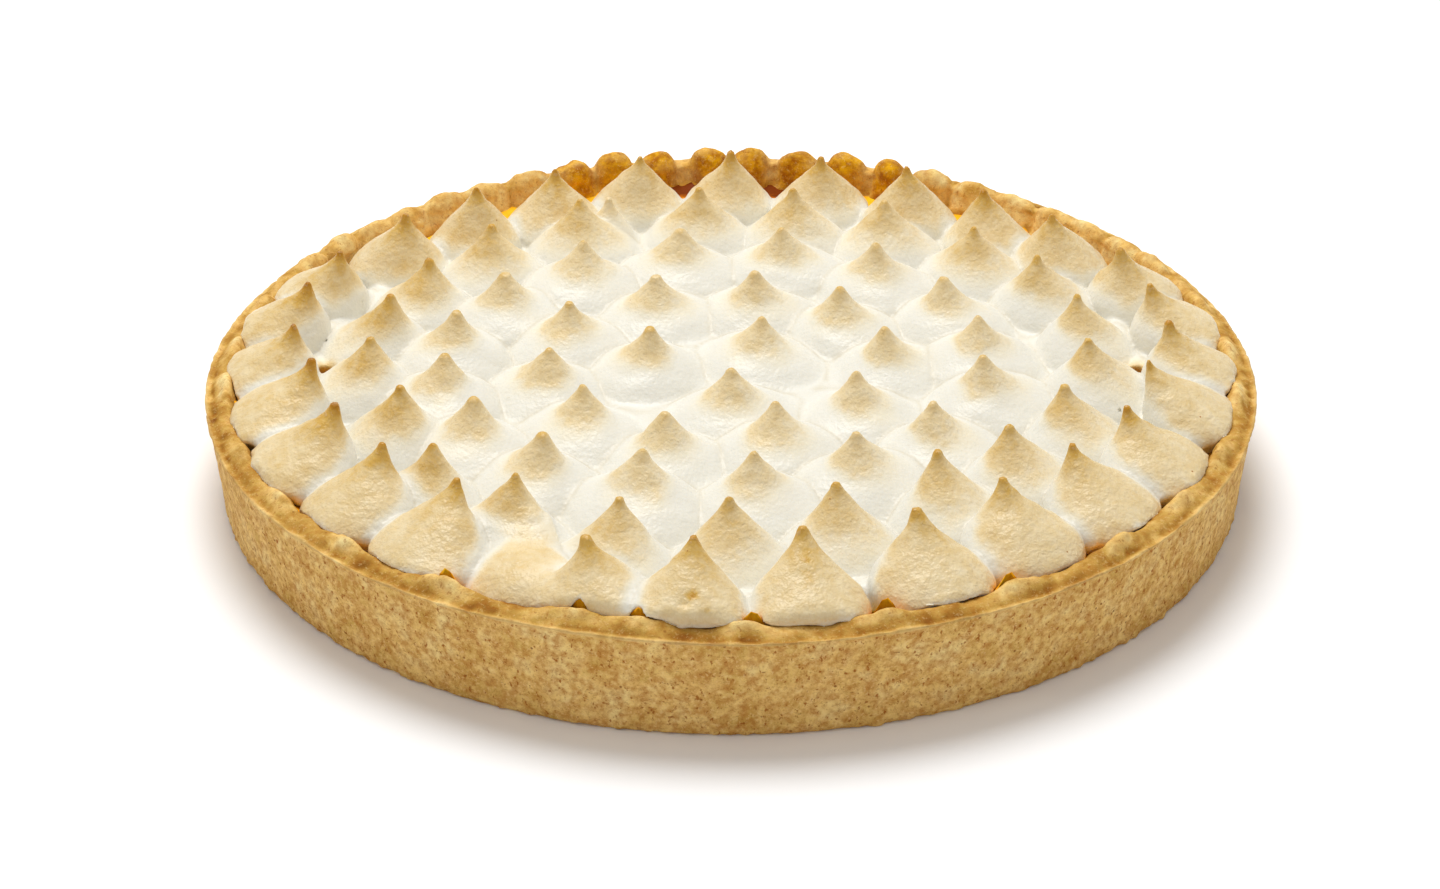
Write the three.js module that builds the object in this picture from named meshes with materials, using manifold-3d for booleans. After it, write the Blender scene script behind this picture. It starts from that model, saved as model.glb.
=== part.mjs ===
// Lemon meringue pie, out of its tin: a deep shortcrust case with a thumb-crimped rim, a lemon curd
// filling, and rings of piped meringue kisses that have baked together into one topping.
// Millimetres, +Z up. The origin is the middle of the underside, on the surface that the pie stands on.
import * as THREE from "three";
import { mergeVertices } from "three/addons/utils/BufferGeometryUtils.js";
import Module from "manifold-3d";

const wasm = await Module();
wasm.setup();

// ---- Driving dimensions ----
const rimRadius = 135; // outer edge of the rim
const baseRadius = 132; // the wall narrows a little towards the base
const wallHeight = 26.4; // up to the outer edge of the rim
const floorThickness = 4.5;
const fillingTop = 20.9; // level of the lemon curd
const fillingRadius = 124.6; // where the curd meets the case
const floorRadius = 121.5; // inside the case, on its floor
const fillingCreep = 5; // the width of the curd's raised edge
const gap = 0.35; // between neighbouring solids

// The crimped rim: rounded knobs with thumb hollows between them, on the inner side of the wall. Each
// section runs over the crest and down the inner face: [radius, height above the rim's outer edge].
const knobCount = 60;
const knobSection = [
  [131, 3.6],
  [126.4, 1.6],
  [126.4, -2.5],
];
const hollowSection = [
  [132.4, 0.4],
  [129.6, -1.2],
  [128.8, -2.5],
];
const knobFullness = 0.7; // under 1 makes the knobs wider than the hollows
const knobUnevenness = 0.3; // as a share of a knob's own height
const segmentsPerKnob = 4;
const plainWallTop = 19.9; // below this the inside of the case isn't crimped

// The kisses, ring by ring. A ring was piped by hand, so its spacing drifts and its radius swings: each
// wave is [how many times round, how much, where it peaks in degrees], in degrees for the drift and in
// millimetres for the swing. The tips were pulled inwards by "pull".
const kissRings = [
  {
    count: 27,
    start: 11.3,
    middle: [-0.5, -2.9],
    radius: 108.7,
    drift: [[2, 1.9, -42]],
    swing: [
      [2, 1.5, 8],
      [3, 1.8, 24],
      [4, 2, -5],
    ],
    tipHeight: 42.4,
    pull: 6.5,
    width: 27,
    roomAfter: 17, // the slumped kiss stands after this one
  },
  {
    count: 21,
    start: 13,
    middle: [-1.3, -3.1],
    radius: 89.7,
    drift: [
      [1, 2.8, -136],
      [2, 1.8, -40],
      [3, 1.3, 5],
    ],
    swing: [
      [2, 2.4, 26],
      [3, 2, 8],
    ],
    tipHeight: 39.9,
    pull: 4,
    width: 28,
  },
  {
    count: 16,
    start: 9.1,
    middle: [-4.4, -3.3],
    radius: 66.9,
    drift: [
      [1, 1.8, -167],
      [2, 2.5, -32],
    ],
    swing: [[2, 2.6, 23]],
    tipHeight: 38.4,
    pull: 2.5,
    width: 28,
  },
  {
    count: 10,
    start: 5.5,
    middle: [-4.5, -3.3],
    radius: 41.8,
    drift: [[2, 3.4, -15]],
    swing: [
      [2, 1.9, 17],
      [3, 1.4, 19],
    ],
    tipHeight: 36.9,
    pull: 1.5,
    width: 28,
  },
  {
    count: 3,
    start: 44.5,
    middle: [-4.3, -3.5],
    radius: 17.4,
    drift: [],
    swing: [],
    tipHeight: 36.9,
    pull: 0,
    width: 28,
  },
];
// One more stands in the outer ring. It was squeezed in, and its peak slumped.
const slumpedKiss = { room: 6, angle: 246.5, reach: 117, tipHeight: 35.5, pull: 3, width: 24 };
const kissHeightSpread = 0.6; // +/- mm
const kissWidthSpread = 1; // +/- mm
const kissSides = 9;
const bedRadius = 113; // the smeared layer that the kisses stand on and have run into
const bedTop = 27.8;

// A kiss's outline, from its widest level up: [depth below its tip, radius]. The outermost kisses stand
// free on the curd, so they are full-bodied and round in again below that level. The others are cones
// that flare out into the bed.
const fullWidth = 27; // of a kiss with exactly these radii
const innerKissOutline = [
  [12, 13.4],
  [9.2, 8.8],
  [5.2, 4.4],
  [0, 0.6],
];
const outerKissOutline = [
  [21.3, 10.8],
  [17.8, 13.1],
  [14, 13.2],
  [9.2, 8.8],
  [5, 4.2],
  [0, 0.6],
];

// ---- Helpers ----

// A small repeatable random source, from 0 to 1.
function seededRandom(seed) {
  let state = seed;
  return () => {
    state = (state * 1664525 + 1013904223) % 4294967296;
    return state / 4294967296;
  };
}

const degrees = (value) => (value * Math.PI) / 180;
const mix = (low, high, share) => low + (high - low) * share;

// Turns a closed three.js geometry into a manifold-3d solid.
function toSolid(geometry) {
  const bare = geometry.clone();
  bare.deleteAttribute("normal");
  bare.deleteAttribute("uv");
  const merged = mergeVertices(bare, 1e-3);
  return new wasm.Manifold(
    new wasm.Mesh({
      numProp: 3,
      vertProperties: new Float32Array(merged.attributes.position.array),
      triVerts: new Uint32Array(merged.index.array),
    }),
  );
}

// Turns a manifold-3d solid back into a three.js geometry.
function toGeometry(solid) {
  const mesh = solid.getMesh();
  const geometry = new THREE.BufferGeometry();
  geometry.setAttribute("position", new THREE.BufferAttribute(new Float32Array(mesh.vertProperties), 3));
  geometry.setIndex(new THREE.BufferAttribute(new Uint32Array(mesh.triVerts), 1));
  geometry.computeVertexNormals();
  return geometry;
}

// A solid of revolution about +Z, from [radius, height] points that run from the axis, round the outside,
// and back to the axis.
function turned(profile, segments) {
  const points = profile.map(([radius, height]) => new THREE.Vector2(radius, height));
  return new THREE.LatheGeometry(points, segments).rotateX(Math.PI / 2);
}

// ---- Crust ----

// How much of a knob stands at an angle: 1 on its middle, 0 in the hollow beside it.
function knobShare(angle) {
  return Math.pow(0.5 - 0.5 * Math.cos(knobCount * angle), knobFullness);
}

// Knobs aren't alike: two slow waves round the rim make some prouder than others.
function knobPride(angle) {
  return 1 + knobUnevenness * (0.6 * Math.sin(7 * angle + 0.8) + 0.4 * Math.sin(17 * angle + 2.1));
}

function makeCrust() {
  const profile = [
    [0, 0],
    [baseRadius, 0],
    [rimRadius, wallHeight],
    ...hollowSection,
    [fillingRadius + gap, plainWallTop],
    [floorRadius + gap, floorThickness],
    [0, floorThickness],
  ];
  const firstCrimped = 3;
  const geometry = turned(profile, knobCount * segmentsPerKnob);
  const position = geometry.attributes.position;
  for (let i = 0; i < position.count; i++) {
    const station = (i % profile.length) - firstCrimped;
    if (station < 0 || station >= knobSection.length) continue;
    const angle = Math.atan2(position.getY(i), position.getX(i));
    const knob = knobShare(angle);
    const radius = mix(hollowSection[station][0], knobSection[station][0], knob);
    const rise = mix(hollowSection[station][1], knobSection[station][1], knob) * knobPride(angle);
    position.setXYZ(i, radius * Math.cos(angle), radius * Math.sin(angle), wallHeight + rise);
  }
  return geometry;
}

// ---- Lemon filling ----

// The curd fills the case, and its skin creeps a little up the wall.
function makeFilling() {
  const radius = fillingRadius - gap;
  return turned(
    [
      [0, floorThickness + gap],
      [floorRadius - gap, floorThickness + gap],
      [radius, fillingTop - 0.8],
      [radius - 1, fillingTop - 0.1],
      [radius - fillingCreep, fillingTop - 0.5],
      [0, fillingTop - 0.5],
    ],
    72,
  );
}

// ---- Meringue ----

// One kiss: a stack of rounds that leans inwards as it rises, closed at the top by a blunt point.
function makeKiss(kiss) {
  const positions = [];
  const indices = [];
  const height = kiss.outline[0][0];
  const levels = kiss.outline.length;
  kiss.outline.forEach(([depth, radius], level) => {
    const lean = kiss.pull * THREE.MathUtils.smoothstep(1 - depth / height, 0.1, 1);
    const cx = kiss.x - lean * Math.cos(kiss.angle);
    const cy = kiss.y - lean * Math.sin(kiss.angle);
    for (let side = 0; side < kissSides; side++) {
      const turn = kiss.twist + (side / kissSides) * 2 * Math.PI;
      const reach = radius * (kiss.width / fullWidth);
      positions.push(cx + reach * Math.cos(turn), cy + reach * Math.sin(turn), kiss.tip - depth);
    }
    if (level === levels - 1) positions.push(cx, cy, kiss.tip);
  });
  const tip = positions.length / 3 - 1;
  positions.push(kiss.x, kiss.y, kiss.tip - height);
  for (let side = 0; side < kissSides; side++) {
    const next = (side + 1) % kissSides;
    indices.push(tip + 1, next, side);
    for (let level = 0; level < levels - 1; level++) {
      const a = level * kissSides + side;
      const b = level * kissSides + next;
      indices.push(a, b, b + kissSides, a, b + kissSides, a + kissSides);
    }
    const last = (levels - 1) * kissSides;
    indices.push(last + side, last + next, tip);
  }
  const geometry = new THREE.BufferGeometry();
  geometry.setAttribute("position", new THREE.Float32BufferAttribute(positions, 3));
  geometry.setIndex(indices);
  return geometry;
}

// What a ring's waves add up to at an angle.
function wavesAt(waves, angle) {
  return waves.reduce((sum, [lobes, amount, peak]) => sum + amount * Math.cos(lobes * (angle - degrees(peak))), 0);
}

// Where every kiss stands, and its size.
function layOutKisses() {
  const random = seededRandom(11);
  const spread = (amount) => (2 * random() - 1) * amount;
  const place = (ring, angle, reach, outline) => ({
    angle,
    x: ring.middle[0] + reach * Math.cos(angle),
    y: ring.middle[1] + reach * Math.sin(angle),
    tip: ring.tipHeight + spread(kissHeightSpread),
    width: ring.width + spread(kissWidthSpread),
    pull: ring.pull,
    twist: random() * Math.PI,
    outline,
  });
  const kisses = [];
  for (const ring of kissRings) {
    const outline = ring === kissRings[0] ? outerKissOutline : innerKissOutline;
    const step = (360 - (ring.roomAfter ? slumpedKiss.room : 0)) / ring.count;
    for (let i = 0; i < ring.count; i++) {
      const room = i > ring.roomAfter ? slumpedKiss.room : 0;
      const even = degrees(ring.start + i * step + room);
      const angle = even + degrees(wavesAt(ring.drift, even));
      kisses.push(place(ring, angle, ring.radius + wavesAt(ring.swing, angle) + ring.pull, outline));
    }
  }
  const { angle, reach, ...shape } = slumpedKiss;
  kisses.push(place({ ...kissRings[0], ...shape }, degrees(angle), reach, outerKissOutline));
  return kisses;
}

// The topping: the bed and every kiss joined, then trimmed to the room inside the rim and over its crest.
function makeMeringue() {
  const roomTop = wallHeight + 40;
  const bed = turned(
    [
      [0, fillingTop],
      [bedRadius, fillingTop],
      [bedRadius, bedTop - 1.2],
      [bedRadius - 8, bedTop],
      [0, bedTop],
    ],
    48,
  );
  const solids = [toSolid(bed), ...layOutKisses().map((kiss) => toSolid(makeKiss(kiss)))];
  const joined = wasm.Manifold.union(solids);
  const crestTop = wallHeight + knobSection[0][1] * (1 + knobUnevenness) + gap;
  const knobFace = knobSection[1][0] - gap;
  const room = turned(
    [
      [0, fillingTop],
      [fillingRadius, fillingTop],
      [knobFace, wallHeight + knobSection[2][1]],
      [knobFace, wallHeight + knobSection[1][1]],
      [knobSection[0][0] - 2, crestTop],
      [rimRadius, crestTop],
      [rimRadius, roomTop],
      [0, roomTop],
    ],
    72,
  );
  return toGeometry(joined.intersect(toSolid(room)));
}

// ---- Assembly ----

function finish(name, color, roughness) {
  return new THREE.MeshStandardMaterial({ name, color, roughness, metalness: 0 });
}

function part(name, geometry, material) {
  const mesh = new THREE.Mesh(geometry, material);
  mesh.name = name;
  return mesh;
}

const pie = new THREE.Group();
pie.name = "lemon_meringue_pie";
pie.add(part("crust", makeCrust(), finish("shortcrust", 0xc09658, 0.85)));
pie.add(part("lemon_filling", makeFilling(), finish("lemon_curd", 0xdca61f, 0.3)));
pie.add(part("meringue", makeMeringue(), finish("toasted_meringue", 0xf6eeda, 0.6)));

export default pie;
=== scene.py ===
import itertools
import math

import bpy
import numpy as np
import openvdb
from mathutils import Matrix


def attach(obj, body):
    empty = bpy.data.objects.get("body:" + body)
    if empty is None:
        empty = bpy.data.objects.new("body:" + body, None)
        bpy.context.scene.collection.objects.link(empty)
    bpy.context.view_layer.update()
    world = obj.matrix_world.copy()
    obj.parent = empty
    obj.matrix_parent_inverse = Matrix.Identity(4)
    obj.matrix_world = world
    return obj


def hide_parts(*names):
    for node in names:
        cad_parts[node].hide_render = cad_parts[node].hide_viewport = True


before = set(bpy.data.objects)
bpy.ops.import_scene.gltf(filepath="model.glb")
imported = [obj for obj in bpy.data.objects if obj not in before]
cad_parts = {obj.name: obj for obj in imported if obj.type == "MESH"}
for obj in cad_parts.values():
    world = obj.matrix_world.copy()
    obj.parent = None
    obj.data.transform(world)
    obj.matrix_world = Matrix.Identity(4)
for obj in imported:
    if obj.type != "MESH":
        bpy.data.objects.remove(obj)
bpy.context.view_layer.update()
mm = 0.001  # every size below is in millimetres, the scene is in metres


def smoothStep(value, low, high):
    t = np.clip((value - low) / (high - low), 0, 1)
    return t * t * (3 - 2 * t)


def mixValues(low, high, share):
    return low + (high - low) * share


# 1 where "away" is 0, and nearly nothing at twice the width
def bell(away, width):
    return np.exp(-(away / width) ** 2)


# a smooth random field between -1 and 1, whose bumps are about "size" across
def softNoise(points, size, seed):
    cells = 32  # before it repeats
    table = np.random.default_rng(seed).uniform(-1, 1, (cells, cells, cells))
    place = points / size
    cell = np.floor(place).astype(int)
    t = place - cell
    t = t * t * (3 - 2 * t)
    total = np.zeros(len(points))
    for corner in itertools.product((0, 1), repeat=3):
        i, j, k = ((cell + corner) % cells).T
        weight = np.prod(np.where(corner, t, 1 - t), axis=1)
        total += weight * table[i, j, k]
    return total


# several such fields added up, each given as [amount, size, seed]
def noiseLayers(points, layers):
    return sum(amount * softNoise(points, size, seed) for amount, size, seed in layers)


def smoothMax(first, second, blend):
    near = np.clip(0.5 + 0.5 * (first - second) / blend, 0, 1)
    return mixValues(second, first, near) + blend * near * (1 - near)


# the sum of a list of waves [times round, amount, peak in degrees] at each angle
def wavesAt(waves, angle):
    return sum((amount * np.cos(lobes * (angle - math.radians(peak))) for lobes, amount, peak in waves),
               0 * angle)


# how far an angle is from another one, the short way round
def turnFrom(angle, other):
    return (angle - other + math.pi) % (2 * math.pi) - math.pi


# points on level circles, as [..., (x, y, z)]
def circlePoints(radius, angle, height=0):
    return np.stack([radius * np.cos(angle), radius * np.sin(angle), 0 * angle + height], axis=-1)


def radiusOf(points):
    return np.hypot(points[:, 0], points[:, 1])


# a rounded curve through points, sampled "count" times along its length
def smoothCurve(points, count):
    points = np.array(points, float)
    ends = np.vstack([2 * points[0] - points[1], points, 2 * points[-1] - points[-2]])
    steps = 24  # between two points
    fine = []
    for i in range(len(points) - 1):
        a, b, c, d = ends[i:i + 4]
        for t in np.linspace(0, 1, steps, endpoint=False):
            fine.append(0.5 * (2 * b + (c - a) * t + (2 * a - 5 * b + 4 * c - d) * t ** 2
                               + (3 * b - a - 3 * c + d) * t ** 3))
    return resample(np.array(fine + [points[-1]]), count)


def resample(line, count):
    walked = np.concatenate([[0], np.cumsum(np.linalg.norm(np.diff(line, axis=0), axis=1))])
    stops = np.linspace(0, walked[-1], count)
    return np.stack([np.interp(stops, walked, column) for column in line.T], axis=1)


def makeObject(name, points, faces, smooth=True):
    mesh = bpy.data.meshes.new(name)
    mesh.from_pydata(points * mm, [], faces)
    mesh.validate()
    mesh.polygons.foreach_set("use_smooth", [smooth] * len(mesh.polygons))
    piece = bpy.data.objects.new(name, mesh)
    bpy.context.scene.collection.objects.link(piece)
    return piece


def setAttribute(piece, name, values):
    layer = piece.data.attributes.new(name, "FLOAT", "POINT")
    layer.data.foreach_set("value", np.asarray(values, np.float32))


def pointsOf(piece):
    flat = np.empty(len(piece.data.vertices) * 3)
    piece.data.vertices.foreach_get("co", flat)
    return flat.reshape(-1, 3) / mm


def normalsOf(piece):
    flat = np.empty(len(piece.data.vertices) * 3)
    piece.data.vertex_normals.foreach_get("vector", flat)
    return flat.reshape(-1, 3)


def movePoints(piece, points):
    piece.data.vertices.foreach_set("co", (points * mm).ravel())
    piece.data.update()


# a turned piece from rows of points, one row for each station of its section, closed at both ends
def turnedPiece(name, rows):
    count = rows.shape[1]
    points = rows.reshape(-1, 3)
    first = rows[0].mean(axis=0)
    last = rows[-1].mean(axis=0)
    points = np.vstack([points, first, last])
    faces = []
    for row in range(len(rows) - 1):
        a = row * count
        for i in range(count):
            j = (i + 1) % count
            faces.append((a + i, a + j, a + count + j, a + count + i))
    bottom = len(points) - 2
    for i in range(count):
        j = (i + 1) % count
        faces.append((bottom, j, i))
        a = (len(rows) - 1) * count
        faces.append((bottom + 1, a + i, a + j))
    return makeObject(name, points, faces)


# The kisses stand in rings. For each ring: how many there are and at which angle the first tip stands, the
# ring's middle and radius, how high the tips are, how far they were pulled inwards, which outline they have,
# how the hand drifted round the ring and swung in and out, and how far single tips stray from all that, in
# degrees and in millimetres.
kissRings = [
    {"count": 27, "start": 11.3, "middle": [-0.5, -2.9], "radius": 108.7, "tip": 42.3, "pull": 9,
     "width": 27, "outline": "outer", "roomAfter": 17, "melts": {18: 0.2}, "leans": {18: [-4.5, 0]},
     "drift": [[2, 1.9, -42]], "swing": [[2, 1.5, 8], [3, 1.8, 24], [4, 2, -5]],
     "nudges": {1: [-1.6, 1.8], 11: [1.4, 0.6], 14: [-1.2, -2.3], 17: [0.5, -2.6], 18: [1.4, 3],
                20: [-1, -2.3], 25: [0.9, -3.3]}},
    {"count": 21, "start": 13, "middle": [-1.3, -3.1], "radius": 89.7, "tip": 39.9, "pull": 4, "width": 27.5,
     "outline": "middle", "melts": {13: 0.3},
     "drift": [[1, 2.8, -136], [2, 1.8, -40], [3, 1.3, 5]], "swing": [[2, 2.4, 26], [3, 2, 8]],
     "nudges": {3: [1.9, 1.7], 5: [-2.6, -0.4], 10: [-2, 1.3], 11: [0.1, -3.7], 12: [1.9, 1.9],
                14: [-1, -0.1], 15: [-1.5, 0.5], 16: [-1, -0.6], 17: [1.6, -1.1]}},
    {"count": 16, "start": 9.1, "middle": [-4.4, -3.3], "radius": 66.9, "tip": 38.4, "pull": 2.5,
     "width": 27.5, "outline": "inner",
     "drift": [[1, 1.8, -167], [2, 2.5, -32]], "swing": [[2, 2.6, 23]], "nudges": {15: [1.3, 1.8]}},
    {"count": 10, "start": 5.5, "middle": [-4.5, -3.3], "radius": 41.8, "tip": 36.9, "pull": 1.5,
     "width": 28, "outline": "inner", "drift": [[2, 3.4, -15]], "swing": [[2, 1.9, 17], [3, 1.4, 19]]},
    {"count": 3, "start": 44.5, "middle": [-4.3, -3.5], "radius": 17.4, "tip": 36.9, "pull": 0, "width": 28,
     "outline": "inner", "drift": [], "swing": []},
]
# a kiss that has slumped in the outer ring (its belly and its tip), a lobe that ran out beside it, and a
# small one squeezed in behind
extraKisses = [
    {"angle": 245.2, "reach": 112.5, "tip": 31.4, "pull": 2, "width": 27, "outline": "belly", "toast": 1.15,
     "melt": 0.2},
    {"angle": 241.6, "reach": 96.5, "tip": 31.8, "pull": 19, "width": 23, "outline": "slumped",
     "leanDepth": 11, "lean": [-6.8, 2.9], "toast": 1.05, "melt": 0.16},
    {"angle": 257.2, "reach": 119.5, "tip": 31.6, "pull": 1, "width": 12, "outline": "slumped",
     "toast": 1.1, "melt": 0.4},
    {"angle": 111, "reach": 95, "tip": 36.6, "pull": 1, "width": 23, "outline": "outer", "toast": 0.5},
]
piping = {
    "room": 6,  # degrees kept free for the slumped kiss
    "uprightSide": [0.1, 0.85],  # sine of the angle where they start to stand straighter, and where they do
    "uprightPull": 0.2,
    "heightSpread": 0.6,
    "widthSpread": 1,
    "leanSpread": 1.2,
    "leanDepth": 21.5,
    "nub": [0, 0.3],  # how much the very tip bulges
    "blunt": [0, 0, 0, 0.3, 0.7],  # how much of a tip is missing, picked by chance
    "squash": [0.03, 0.06],  # how oval a kiss is, as a share of its radius
    "squashTurn": 0.4,  # radians
    "lobes": [0, 0.035],
    "paintedShadeLeft": 1.12,  # painted shade: how much more toast the kisses on the left get, so that side reads darker as if less lit
    "leftSide": [0.4, 1],
    "outerFrom": 105,  # only kisses further out than this leave gaps at the crust
    "notchAngle": 254.6,  # where the melted kiss's foot has a notch
    "seed": 11,
}


# one kiss of a ring, strayed outwards by "stray"; it runs into its neighbours the lower "melt" is
def pipeKiss(rng, ring, angle, reach, stray, melt, lean):
    behind = float(smoothStep(math.sin(angle), *piping["uprightSide"]))
    pull = ring["pull"] * mixValues(1, piping["uprightPull"], behind)
    if ring["outline"] == "outer":
        pull -= stray
    reach += stray + pull
    middle = np.array(ring["middle"]) + reach * np.array([math.cos(angle), math.sin(angle)])
    # painted shade: more toast on the kisses on the left
    toasted = mixValues(1, piping["paintedShadeLeft"], float(smoothStep(-math.cos(angle), *piping["leftSide"])))
    kiss = {
        "angle": angle,
        "behind": behind,
        "middle": middle,
        "foot": middle if lean is None else middle - np.array(lean),
        "tip": ring["tip"] + rng.uniform(-1, 1) * piping["heightSpread"],
        "width": ring["width"] + rng.uniform(-1, 1) * piping["widthSpread"],
        "pull": pull,
        "outline": ring["outline"],
        "leanDepth": ring.get("leanDepth", piping["leanDepth"]),
        "toast": ring.get("toast", toasted),
        "melt": melt,
        "nub": rng.uniform(*piping["nub"]),
        "blunt": rng.choice(piping["blunt"]),
        "lean": rng.uniform(-piping["leanSpread"], piping["leanSpread"], 2),
        "squash": [rng.uniform(*piping["squash"]),
                   angle + math.pi / 2 + rng.uniform(-piping["squashTurn"], piping["squashTurn"])],
        "lobes": [rng.uniform(*piping["lobes"]), rng.uniform(0, 2 * math.pi)],
    }
    if lean is not None:
        kiss["lean"] = lean
    return kiss


def layOutKisses():
    rng = np.random.default_rng(piping["seed"])
    kisses = []
    for ring in kissRings:
        step = (360 - (piping["room"] if "roomAfter" in ring else 0)) / ring["count"]
        for i in range(ring["count"]):
            room = piping["room"] if i > ring.get("roomAfter", ring["count"]) else 0
            even = math.radians(ring["start"] + i * step + room)
            angle = even + math.radians(float(wavesAt(ring["drift"], even)))
            reach = ring["radius"] + float(wavesAt(ring["swing"], angle))
            turned, stray = ring.get("nudges", {}).get(i, [0, 0])
            melt = ring.get("melts", {}).get(i, 1)
            lean = ring.get("leans", {}).get(i)
            kisses.append(pipeKiss(rng, ring, angle + math.radians(turned), reach, stray, melt, lean))
    for extra in extraKisses:
        ring = {**kissRings[0], **extra}
        angle = math.radians(extra["angle"])
        kisses.append(pipeKiss(rng, ring, angle, extra["reach"], 0, extra.get("melt", 1), extra.get("lean")))
    return kisses


# the angles of the gaps between neighbouring outer kisses, and of the notch in one that has melted
def gapsBetween(kisses):
    outer = [kiss for kiss in kisses if kiss["outline"] in ("outer", "belly")]
    feet = [(kiss["foot"], kiss["melt"] < 1) for kiss in outer
            if math.hypot(*kiss["middle"]) > piping["outerFrom"]]
    turns = sorted((math.atan2(y, x) % (2 * math.pi), melted) for (x, y), melted in feet)
    turns.append((turns[0][0] + 2 * math.pi, turns[0][1]))
    between = [(one[0] + two[0]) / 2 for one, two in zip(turns, turns[1:]) if not (one[1] and two[1])]
    return sorted(between + [math.radians(piping["notchAngle"])])


kisses = layOutKisses()
gaps = gapsBetween(kisses)


crust = {
    "rimRadius": 135,
    "baseRadius": 132,
    "wallHeight": 26.4,
    "underside": [1, 60, 110],  # radii
    "foot": [[-2.5, 0], [-0.9, 0.1], [-0.1, 1], [0.3, 3]],  # as [past the base radius, height]
    "lining": [[124.2, 12], [121.8, 4.5], [90, 4.5], [1, 4.5]],  # inside, down to its floor
    "footStations": 9,
    "wallStations": 34,
    "rimStations": 44,
    "columns": 1080,
    "knobs": 60,
    "knobSeed": 4,
    "knobWander": 0.5,  # degrees
    "knobWidth": [0.74, 0.92],
    "knobPride": [0.88, 1.08],
    "knobRound": 0.6,
    "knobSide": [0, 0.6],  # sine of the angle where the flat shelf starts to turn into knobs, and has
    "tallSide": [0.87, 0.94],  # and the same for where the knobs stand tall
    "lowKnob": [0.35, 0.7],  # how tall the others are, as a share
    "lump": [1, 2.3],  # how high the pastry rises in the gaps between the outer kisses
    "lumpWidth": [2.2, 3.4],  # degrees
    "lumpStray": 1.6,  # degrees
    "lumpNoise": [[0.45, 4.5, 27]],  # noise is given as [amount, size, seed]
    "lumpRadius": 129,
    "lumpSeed": 8,
    "sunk": 0.9,  # how far it is pressed down under them
    "crest": [129.6, 2.1],  # radius and width of the low side's crest
    # its relief, pushed out along its surface
    "relief": {
        "radius": [122, 125],  # it starts here, going outwards
        "height": [-0.1, 0.8],  # and here, going up
        "sand": [[1, 1.5, 21], [0.7, 3.1, 22], [0.8, 7.5, 23]],
        "sandiness": 0.15,
        "sandOnTop": 1.3,  # times as deep
        "top": [-0.8, 0.2],  # where the wall turns into the rim, from the wall's height
        "topNoise": [[0.4, 4.5, 28], [0.28, 2.2, 29]],
        "lip": [134.8, 0.45],  # radius and width of the sharp outer edge
        "lipHeight": [-0.7, -0.2],
        "lipRise": 0.1,
        "lipNoise": [[0.2, 2.2, 24]],
        "wall": -0.25,
        "wallFrom": 4,
        "crumbs": [[0.75, 1.7, 25]],
        "crumbsBelow": 2.5,
        "crumbsFrom": 129,  # radius
        "sway": [[0.3, 14, 26]],
    },
    # how brown each place is, as shares that add up from 0, pale, to 1, dark: mostly how it has baked, with
    # some shares of painted shade and painted highlight, as marked
    "bakeAndPaintedShading": {
        "start": 0.3,
        "trough": 0.2,  # the groove inside the edge
        "troughAt": [133, 1.2],  # radius and width
        "top": 0.18,
        # painted highlight: paler on the lumps in the gaps; painted shade: browner where the rim is pressed
        # down under the kisses
        "lumps": -0.34,
        # painted shade: darker towards the foot of the wall
        "foot": 0.14,
        "footBelow": 7,
        "shelf": 0.01,
        # darker where the shelf dips inside under the kisses: caramel and painted shade
        "innerShelf": 0.36,
        "innerFrom": 129.4,
        "insideFrom": 130.4,  # radius
        "insideAbove": 18,
        # browner in the hollows between the low knobs: caramel and painted shade
        "hollows": 0.3,
        "knobs": -0.22,
        # darker low down inside the rim: caramel and painted shade
        "deep": 0.5,
        "deepBelow": 24,
        "patchy": [[0.17, 0.24, 5, 31], [0.14, 0.22, 2.2, 32]],  # as [on the wall, on the rim, size, seed]
        "goldLow": 0.2,  # how golden the low knobs are, against the tall ones
        "goldHollow": 0.3,
        "gold": 1.05,
        "goldNoise": [[0.35, 4, 33]],
        "goldAt": [134.4, 2.4],  # radius and width
        "paintedHighlightTop": -0.3,
        "paintedHighlightFrom": [3.6, 5.4],  # above the wall; from here up the knob tops have less gold, a painted highlight
        "edge": 0.8,
        "edgeNoise": [[0.6, 7, 34]],
    },
}
# the rim's section from its outer edge over the crest and down inside, as [radius, height above the edge]:
# where it is low and wide, in a hollow between two tall knobs, and through a tall knob
shelfSection = [
    [134.7, -0.6], [134.95, 0], [134.4, 0.2], [133.7, 0], [132.6, 0.5], [131.2, 1.4],
    [129.6, 1.9], [128.2, 1.2], [127.3, -0.4], [126.5, -2.4], [125.6, -4.8], [124.95, -7.5],
]
hollowSection = [
    [134.7, -0.6], [134.95, 0], [134.3, 0.3], [133.3, 0.3], [131.9, 0.7], [130.5, 0.9],
    [129.5, 0.2], [129, -1.2], [128.5, -2.7], [127.3, -4.6], [125.6, -5.8], [124.95, -7.5],
]
knobSection = [
    [134.7, -0.6], [134.95, 0], [134.4, 0.5], [133.7, 2.2], [132.6, 4.3], [131, 5.4],
    [129.2, 5.3], [127.4, 4], [126.2, 1.6], [125.7, -1.5], [125.2, -5], [124.95, -7.5],
]


# each knob's own middle, width and pride, and how much of it stands
def knobSizes():
    rng = np.random.default_rng(crust["knobSeed"])
    count = crust["knobs"]
    wander = rng.uniform(-1, 1, count) * crust["knobWander"]
    middles = np.radians((np.arange(count) + 0.5) * 360 / count + wander)
    widths = rng.uniform(*crust["knobWidth"], count)
    prides = rng.uniform(*crust["knobPride"], count)
    lows = rng.uniform(*crust["lowKnob"], count)
    tall = smoothStep(np.sin(middles), *crust["tallSide"])
    return middles, mixValues(1, widths, tall), prides, mixValues(lows, 1, tall)


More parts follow.
